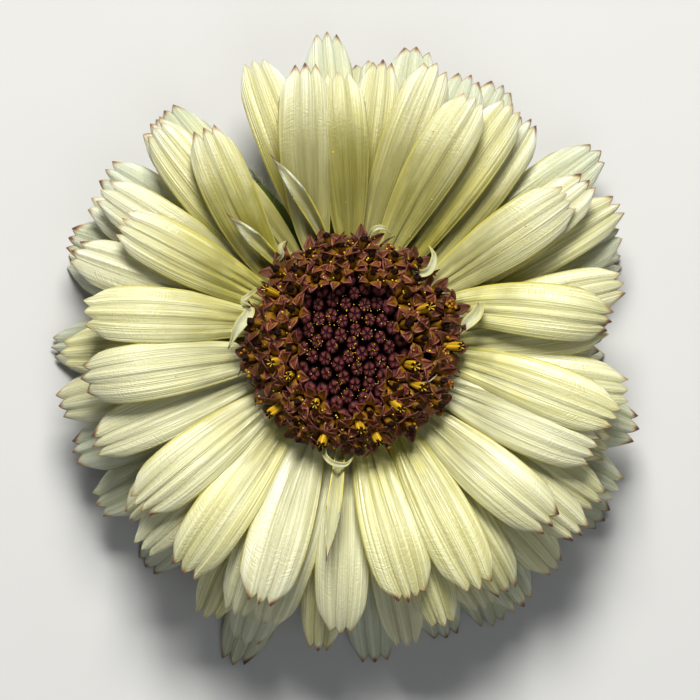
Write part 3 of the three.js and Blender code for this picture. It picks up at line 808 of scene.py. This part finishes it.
def bract_shape(azimuth, reach, root_z, tip_z, width, vary):
    """A bract's surface: pointed, keeled, a little cupped, its tip curling."""
    root = polar(BRACT_ROOT_RADIUS, azimuth, root_z)
    tip = polar(reach, azimuth + vary(-2, 2), tip_z + vary(-0.4, 0.3))
    out = (tip - root).normalized()
    left = Vector((-out.y, out.x, 0)).normalized()
    up = out.cross(left)

    def spot(u, v):
        half = width / 2 * (0.72 + 0.28 * smooth(0, 0.25, v)) * (1 - smooth(0.3, 1.02, v) ** 1.15)
        keel = 0.32 * (1 - abs(u) ** 0.8) - 0.2
        arch = 0.7 * sin(pi * v) + 0.25 * smooth(0.85, 1, v)
        return root.lerp(tip, v) - left * (u * max(half, 0.02)) + up * (arch + keel * (1 - v))

    return spot


def hair(bm, base, grow, length, vary):
    """One pale hair: a slender three-sided tube that curls over."""
    sway = Vector((vary(-1, 1), vary(-1, 1), vary(-0.6, 0.8)))
    side = grow.cross(sway).normalized()
    turn = vary(2, 6)
    aim = grow.to_track_quat("Z", "Y").to_matrix()

    def spot(u, v):
        ring = aim @ around(lerp(0.04, 0.01, v), pi * u)
        curl = side * (0.12 * length * sin(turn * v))
        return base + ring + grow * (length * v) + sway * (length * 0.45 * v ** 2) + curl

    grid_patch(bm, 3, 6, spot)


def hairs_on_bract(bm, spot, azimuth, shown, draw):
    """Hairs mostly on the edges of a bract; the bract that shows has more of them, longer at its tip."""
    vary = draw.uniform
    for number in range(SHOWN_BRACT_HAIRS if shown else BRACT_HAIRS):
        near_tip = shown and number % 2 == 0
        v = vary(0.7, 1) if near_tip else vary(0.15, 1) ** 0.8
        u = draw.choice([-1, 1]) * vary(0.8, 1) if draw.random() < 0.7 else vary(-1, 1)
        base = spot(u, v)
        outward = base - spot(u * 0.5, v)
        grow = Vector((outward.x, outward.y, vary(-0.6, 0.9))).normalized()
        grow = (grow + polar(0.5, azimuth)).normalized()
        hair(bm, base, grow, vary(0.5, 1.3) * (1.5 if near_tip else 1), vary)


def make_bracts(material, hair_material):
    draw = Random("bracts")
    vary = draw.uniform
    bm, hairs = bmesh.new(), bmesh.new()
    layers_of(hairs)
    for root_z, reach, tip_z, width, first in BRACT_ROWS:
        for i in range(BRACTS_PER_ROW):
            azimuth = first + 360 / BRACTS_PER_ROW * i
            shown = abs(azimuth - SHOWN_BRACT_AZIMUTH) < 2
            azimuth = SHOWN_BRACT_AZIMUTH if shown else azimuth
            own_reach = SHOWN_BRACT_REACH if shown else reach + vary(-0.8, 0.8)
            spot = bract_shape(azimuth, own_reach, root_z, tip_z, width, vary)
            grid_patch(bm, 10, 24, spot, vary(-1, 1))
            hairs_on_bract(hairs, spot, azimuth, shown, draw)
    for _ in range(STEM_HAIRS):
        angle = vary(0, 360)
        base = polar(STEM_RADIUS * 0.97, angle, vary(0.3, STEM_LENGTH))
        grow = (polar(1, angle) + Vector((0, 0, vary(-0.5, 0.5)))).normalized()
        hair(hairs, base, grow, vary(0.4, 0.9), vary)
    bmesh.ops.recalc_face_normals(bm, faces=bm.faces)
    finish_piece("bracts", bm, material, ["involucre"], BRACT_THICKNESS)
    finish_piece("hairs", hairs, hair_material)


# Materials

class Tree:
    """A node tree. What feeds a socket is a number, a colour or the output of another node."""

    def __init__(self, tree):
        self.tree = tree
        self.column = 0

    def feed(self, socket, value):
        if isinstance(value, bpy.types.NodeSocket):
            self.tree.links.new(value, socket)
        else:
            socket.default_value = (*value, 1) if socket.type == "RGBA" else value

    def add(self, kind, **settings):
        """A new node. Values named in_ feed its sockets, and the others are its settings."""
        self.column -= 40
        made = self.tree.nodes.new(kind)
        made.location = self.column, self.column
        for name, value in settings.items():
            if name.startswith("in_"):
                self.feed(made.inputs[name[3:].replace("_", " ")], value)
            else:
                setattr(made, name, value)
        return made

    def attribute(self, name):
        return self.add("ShaderNodeAttribute", attribute_name=name).outputs["Fac"]

    def along(self):
        """Places across and along the surface, each from 0 to 1."""
        places = self.add("ShaderNodeSeparateXYZ", in_Vector=self.add("ShaderNodeUVMap").outputs["UV"])
        return places.outputs["X"], places.outputs["Y"]

    def ramp(self, value, low, high, to_low=0, to_high=1, kind="SMOOTHSTEP"):
        return self.add(
            "ShaderNodeMapRange", interpolation_type=kind, in_Value=value,
            in_From_Min=low, in_From_Max=high, in_To_Min=to_low, in_To_Max=to_high,
        ).outputs["Result"]

    def maths(self, operation, *values):
        made = self.add("ShaderNodeMath", operation=operation)
        for socket, value in zip(made.inputs, values):
            self.feed(socket, value)
        return made.outputs[0]

    def times(self, *values):
        return self.maths("MULTIPLY", *values)

    def mix(self, share, first, second):
        made = self.add("ShaderNodeMix", data_type="RGBA", clamp_factor=True)
        for place, value in ((0, share), (6, first), (7, second)):
            self.feed(made.inputs[place], value)
        return made.outputs[2]

    def noise(self, scale, detail=3):
        places = self.add("ShaderNodeTexCoord").outputs["Object"]
        noise = self.add("ShaderNodeTexNoise", in_Vector=places, in_Scale=scale, in_Detail=detail)
        return noise.outputs["Fac"]


def fine_lines_group():
    """Fine lines that run along a petal or bract, with small wrinkles across them."""
    group = bpy.data.node_groups.new("fine_lines", "ShaderNodeTree")
    for label, value in (("Across", 60), ("Along", 2), ("Wrinkles", 120), ("Seed", 0)):
        socket = group.interface.new_socket(label, in_out="INPUT", socket_type="NodeSocketFloat")
        socket.default_value = value
    for label in ("Lines", "Height", "Patches"):
        group.interface.new_socket(label, in_out="OUTPUT", socket_type="NodeSocketFloat")
    tree = Tree(group)
    given = tree.add("NodeGroupInput").outputs
    u, v = tree.along()

    def stretched(u_scale, v_scale, detail):
        """Noise with its own scale across and along the surface."""
        x, y = tree.times(u, u_scale), tree.times(v, v_scale)
        places = tree.add("ShaderNodeCombineXYZ", in_X=x, in_Y=y, in_Z=given["Seed"]).outputs[0]
        noise = tree.add(
            "ShaderNodeTexNoise", in_Vector=places, in_Scale=1, in_Detail=detail, in_Roughness=0.55
        )
        return noise.outputs["Fac"]

    broad = stretched(given["Across"], given["Along"], 1)
    narrow = stretched(tree.times(given["Across"], 3.1), given["Along"], 1)
    lines = tree.ramp(tree.maths("ADD", broad, narrow), 0.75, 1.25, kind="LINEAR")
    wrinkles = tree.times(stretched(14, given["Wrinkles"], 2), tree.ramp(v, 0.4, 0.75, 0.3, 1.8))
    tree.add(
        "NodeGroupOutput", in_Lines=lines, in_Height=tree.maths("ADD", lines, wrinkles),
        in_Patches=stretched(3, 4, 3),
    )
    return group


FINE_LINES = fine_lines_group()


class Finish(Tree):
    """A Principled material that is painted coat by coat."""

    def __init__(self, name, roughness, specular=0.5):
        self.material = bpy.data.materials.new(name)
        self.material.use_nodes = True
        super().__init__(self.material.node_tree)
        self.shader = self.tree.nodes["Principled BSDF"].inputs
        self.set(Roughness=roughness, Specular_IOR_Level=specular)

    def set(self, **values):
        for name, value in values.items():
            self.feed(self.shader[name.replace("_", " ")], value)

    def paint(self, share, colour):
        """A coat of colour over the coats before it."""
        self.colour = self.mix(share, self.colour, colour)

    def fine_lines(self, across, along, wrinkles):
        seed = self.times(self.attribute("tone"), 20)
        return self.add(
            "ShaderNodeGroup", node_tree=FINE_LINES, in_Across=across, in_Along=along, in_Wrinkles=wrinkles,
            in_Seed=seed,
        ).outputs

    def relief(self, height, strength, distance):
        bump = self.add("ShaderNodeBump", in_Height=height, in_Strength=strength, in_Distance=distance * MM)
        self.set(Normal=bump.outputs["Normal"])

    def painted(self):
        self.set(Base_Color=self.colour)
        return self.material


def petal_finish(name, root, body, warm, pale, vein_and_groove_shade, olive):
    """Satin petal: olive at the root, cream beyond, with grooves, veins and brown tooth tips."""
    coat = Finish(name, 0.42, 0.85)
    u, v = coat.along()
    lines = coat.fine_lines(24, 1.3, 100)
    patches, on_painted_light_side = lines["Patches"], coat.attribute("extra")
    # On the side of the key light the root colour runs further out: painted shade
    reach = coat.maths("ADD", v, coat.ramp(patches, 0.3, 0.7, -0.1, 0.1))
    reach = coat.maths("SUBTRACT", reach, coat.times(on_painted_light_side, 0.3))
    coat.colour = coat.mix(coat.ramp(reach, 0.1, 0.54), root, body)
    coat.paint(coat.ramp(patches, 0.52, 0.62, 0, 0.45), (0.84, 0.76, 0.16))
    # The end: warm, or pale on the side of the key light, where the pale is a painted highlight
    coat.paint(
        coat.ramp(reach, 0.45, 0.95), coat.mix(coat.ramp(on_painted_light_side, 0.05, 0.7), warm, pale)
    )
    # Painted shade in the grooves near the end, in the vein colour
    coat.paint(coat.times(coat.attribute("groove_shade"), 0.6), vein_and_groove_shade)
    coat.paint(coat.ramp(lines["Lines"], 0.25, 0.8, 0.62, 0), vein_and_groove_shade)
    coat.paint(coat.ramp(coat.attribute("tone"), -1, 1, 0, 0.25), pale)
    # Painted shade on the inner part of the rays on the side of the key light
    coat.paint(coat.times(on_painted_light_side, coat.ramp(v, 1, 0.35, 0.05, 0.72)), olive)
    aside = coat.maths("ABSOLUTE", coat.maths("SUBTRACT", u, 0.5))
    coat.paint(coat.ramp(aside, 0.445, 0.485, 0, 0.8), (0.58, 0.5, 0.05))
    browned = coat.attribute("tip")
    rust = coat.mix(coat.ramp(browned, 0.3, 0.65), (0.42, 0.26, 0.08), (0.1, 0.03, 0.02))
    coat.paint(coat.ramp(browned, 0.1, 0.5), rust)
    coat.relief(lines["Height"], 0.8, 0.075)
    coat.set(
        Roughness=coat.ramp(patches, 0.3, 0.7, 0.3, 0.42),
        Sheen_Weight=0.22, Sheen_Roughness=0.35, Sheen_Tint=(0.78, 0.88, 1),
        Subsurface_Weight=0.25, Subsurface_Radius=(1, 0.85, 0.4), Subsurface_Scale=0.7 * MM,
    )
    return coat.painted()


def corolla_finish():
    """Velvety maroon lobes with rosy margins round an olive throat; the rosy margins are partly the lobes'
    own colour and partly a painted highlight on their raised edges.
    """
    coat = Finish("floret_maroon_lobes", 0.45, 0.22)
    u, v = coat.along()
    lines = coat.fine_lines(14, 5, 40)
    aside = coat.maths("ABSOLUTE", coat.maths("SUBTRACT", u, 0.5))
    on_lobe = coat.ramp(v, 0.55, 0.72)
    lobe = coat.mix(coat.ramp(lines["Patches"], 0.3, 0.7), (0.13, 0.03, 0.004), (0.25, 0.075, 0.016))
    lobe = coat.mix(coat.ramp(coat.attribute("tone"), -1, 1, 0, 0.6), lobe, (0.07, 0.016, 0.01))
    coat.colour = coat.mix(coat.ramp(v, 0.48, 0.74), (0.34, 0.17, 0.004), lobe)
    inner_line = coat.times(coat.ramp(aside, 0.12, 0.22), coat.ramp(aside, 0.34, 0.24))
    coat.paint(coat.times(inner_line, on_lobe), (0.07, 0.016, 0.006))
    # Rosy margins: partly their own colour, partly a painted highlight on the raised edges
    rosy_rim_and_highlight = coat.times(coat.ramp(aside, 0.3, 0.4), coat.ramp(v, 0.52, 0.62))
    coat.paint(coat.times(rosy_rim_and_highlight, 0.8), (0.4, 0.14, 0.09))
    border = coat.times(coat.ramp(aside, 0.455, 0.49), on_lobe)
    coat.paint(coat.times(border, 0.85), (0.05, 0.008, 0.01))
    coat.paint(coat.ramp(v, 0.93, 1), (0.07, 0.012, 0.02))
    coat.paint(coat.times(lines["Lines"], 0.25), (0.08, 0.02, 0.015))
    withered = coat.ramp(coat.attribute("extra"), 0.5, 0.95, 0, 0.72)
    coat.paint(withered, (0.06, 0.02, 0.006))
    coat.relief(lines["Height"], 0.5, 0.05)
    coat.set(Subsurface_Weight=0.15, Subsurface_Radius=(1, 0.4, 0.3), Subsurface_Scale=0.4 * MM)
    return coat.painted()


def anther_finish():
    """Gold ribbed tubes with a dark crown and a gold star; spent ones are dark all over."""
    coat = Finish("anther_gold_and_black", 0.6, 0.08)
    u, v = coat.along()
    gold = coat.attribute("extra")
    ribs = coat.ramp(coat.maths("COSINE", coat.times(u, tau * 5)), 0.55, 0.85)
    dark = coat.mix(coat.noise(2500), (0.003, 0.001, 0.001), (0.02, 0.006, 0.004))
    yellow = coat.mix(coat.noise(3000), (0.62, 0.33, 0.01), (0.85, 0.55, 0.03))
    dull = coat.mix(coat.noise(2000), (0.16, 0.07, 0.006), (0.34, 0.17, 0.012))
    coat.colour = coat.mix(gold, dull, yellow)
    # Darker in the troughs between the ribs: painted shade
    coat.paint(coat.times(coat.ramp(ribs, 1, 0), 0.5), (0.12, 0.05, 0.005))
    crown = coat.mix(coat.times(ribs, gold), dark, yellow)
    coat.paint(coat.ramp(v, 0.5, 0.6), crown)
    return coat.painted()


def bud_finish():
    """Dark wine buds with rosier tops; painted shade makes their sides, the creases between the lobes and
    the pit where the lobes meet near black, and the rosy lobe crests are a painted highlight.
    """
    coat = Finish("bud_dark_wine", 0.55, 0.07)
    u, v = coat.along()
    lobes = coat.maths("ABSOLUTE", coat.maths("COSINE", coat.times(u, pi * 5)))
    mottled = coat.noise(1800)
    share = coat.ramp(mottled, 0.35, 0.65)
    # The near-black low colour is painted shade
    low = coat.mix(share, (0.0008, 0.0002, 0.0002), (0.004, 0.0005, 0.001))
    top = coat.mix(share, (0.008, 0.001, 0.001), (0.04, 0.006, 0.007))
    top = coat.mix(coat.times(coat.attribute("extra"), 0.6), top, (0.17, 0.045, 0.045))
    # Rosy lobe crests: a painted highlight
    crest_highlight = coat.times(coat.ramp(v, 0.6, 0.76), coat.ramp(lobes, 0.3, 0.9))
    top = coat.mix(coat.times(crest_highlight, 0.6), top, (0.18, 0.046, 0.046))
    # Painted shade on the sides, below the top
    coat.colour = coat.mix(coat.ramp(v, 0.54, 0.76), low, top)
    # Painted shade in the pit where the lobes meet
    coat.paint(coat.ramp(v, 0.88, 0.97, 0, 0.7), low)
    # Painted shade in the creases between the lobes
    coat.paint(coat.times(coat.ramp(lobes, 0.4, 0), coat.ramp(v, 0.5, 0.8, 0, 0.7)), low)
    coat.relief(mottled, 0.7, 0.09)
    return coat.painted()


def plain_finish(name, dark, light, roughness, scale, specular=0.2):
    """A mottled two-tone surface."""
    coat = Finish(name, roughness, specular)
    mottled = coat.noise(scale)
    coat.colour = coat.mix(coat.ramp(mottled, 0.35, 0.65), dark, light)
    coat.relief(mottled, 0.5, 0.04)
    return coat.painted()


def bract_finish():
    """Green with paler lines and a reddish tip."""
    coat = Finish("bract_green_hairy", 0.6, 0.35)
    _, v = coat.along()
    lines = coat.fine_lines(16, 2, 60)
    coat.colour = coat.mix(coat.ramp(v, 0.2, 0.8), (0.06, 0.11, 0.015), (0.17, 0.25, 0.035))
    coat.paint(coat.times(lines["Lines"], 0.4), (0.17, 0.24, 0.05))
    coat.paint(coat.ramp(v, 0.86, 0.99), (0.2, 0.05, 0.05))
    coat.relief(lines["Height"], 0.5, 0.06)
    return coat.painted()


def stem_finish():
    """Ribbed green stem, olive at the receptacle, paler and moist at the cut."""
    coat = Finish("stem_green_cut", 0.5)
    mottled = coat.noise(900)
    share = coat.ramp(mottled, 0.3, 0.7)
    coat.colour = coat.mix(share, (0.07, 0.14, 0.03), (0.14, 0.24, 0.06))
    coat.paint(coat.attribute("extra"), (0.26, 0.24, 0.06))
    coat.paint(coat.attribute("tip"), coat.mix(share, (0.42, 0.5, 0.24), (0.6, 0.66, 0.42)))
    coat.relief(mottled, 0.4, 0.05)
    return coat.painted()


def floor_finish():
    coat = Finish("pale_floor", 0.75, 0.3)
    specks = coat.ramp(coat.noise(60, 5), 0.3, 0.7)
    coat.colour = coat.mix(specks, (0.612, 0.612, 0.597), (0.62, 0.62, 0.605))
    return coat.painted()


# Scene

def set_camera():
    """Straight above the face of the flower, with a long lens."""
    data = bpy.data.cameras.new("camera")
    data.lens = data.sensor_width * (CAMERA_HEIGHT - FOCUS_HEIGHT) / PHOTO_WIDTH
    data.clip_end = 5
    camera = place_object("camera", data)
    camera.location = AXIS + PHOTO_CENTRE * MM + Vector((0, 0, CAMERA_HEIGHT * MM))
    bpy.context.scene.camera = camera


def soft_light(name, azimuth, elevation, size, power, colour):
    """A square soft light that faces the flower."""
    data = bpy.data.lights.new(name, "AREA")
    data.size = size
    data.energy = power
    data.color = colour
    lamp = place_object(name, data)
    tilt = radians(elevation)
    lamp.location = AXIS + polar(LIGHT_DISTANCE * cos(tilt), azimuth, LIGHT_DISTANCE * sin(tilt))
    lamp.rotation_mode = "QUATERNION"
    lamp.rotation_quaternion = (lamp.location - AXIS).to_track_quat("Z", "Y")


def set_stage():
    bm = bmesh.new()
    under = Matrix.Translation((0, 0, -FLOOR_GAP * MM))
    bmesh.ops.create_grid(bm, x_segments=1, y_segments=1, size=2, matrix=under)
    floor = mesh_object("floor", bm, floor_finish())
    soft_light("key_light", 90, 50, 0.3, 9.8, (1, 0.985, 0.955))
    soft_light("fill_light", -70, 62, 0.5, 1, (0.92, 0.96, 1))
    world = bpy.data.worlds.new("studio")
    world.use_nodes = True
    background = world.node_tree.nodes["Background"].inputs
    background["Color"].default_value = (0.9, 0.93, 1, 1)
    background["Strength"].default_value = 0.08
    bpy.context.scene.world = world
    bpy.context.scene.view_settings.view_transform = "Standard"


def make_flower():
    cream, shaded = petal_finish("petal_cream", *CREAM), petal_finish("petal_painted_shade", *SHADED_CREAM)
    rays = make_whorl("ray_whorl_1", cream, 56, small=STUNTED_RAYS)
    make_whorl("ray_whorl_2", cream, 56)
    make_whorl("ray_whorl_3", cream, 52)
    # The two lowest whorls take the shaded copy of the petal colours: painted shade
    make_whorl("ray_whorl_4", shaded, 44, LOWER_WIDENING)
    make_whorl("ray_whorl_5", shaded, 44, LOWER_WIDENING)
    make_collars(plain_finish("petal_root_olive", (0.16, 0.15, 0.02), (0.3, 0.27, 0.05), 0.6, 800))
    seats = floret_seats()
    # Near black under the buds: painted shade in the gaps between them
    bud_field_shade = plain_finish("bud_field_painted_shade", (0.001, 0.0003, 0.0003), (0.005, 0.001, 0.001), 0.9, 2500, 0)
    make_ground("bud_field", BUD_FIELD_PROFILE, 64, bud_field_shade, "disc_buds")
    make_buds(bud_finish())
    # Dark brown under the open florets: painted shade between them
    brown = plain_finish("disc_floor_painted_shade", (0.003, 0.001, 0.0005), (0.014, 0.006, 0.001), 0.9, 2000, 0)
    make_ground("disc_floor", DISC_FLOOR_PROFILE, 72, brown, "disc_florets")
    make_corollas(seats, corolla_finish())
    make_anthers(seats, anther_finish())
    make_curls(cream)
    make_threads(plain_finish("thread_maroon", (0.03, 0.008, 0.004), (0.13, 0.04, 0.015), 0.6, 2500))
    make_clumps(plain_finish("clump_orange", (0.12, 0.035, 0.004), (0.5, 0.22, 0.01), 0.7, 3500))
    make_pollen(rays, seats, plain_finish("pollen_gold", (0.75, 0.48, 0.01), (0.95, 0.74, 0.05), 0.6, 3000))
    make_stem(stem_finish())
    make_cup(plain_finish("cup_green", (0.055, 0.105, 0.018), (0.08, 0.14, 0.026), 0.6, 500))
    make_bracts(bract_finish(), plain_finish("hair_pale", (0.5, 0.52, 0.4), (0.7, 0.72, 0.6), 0.5, 900))


set_camera()
set_stage()
make_flower()
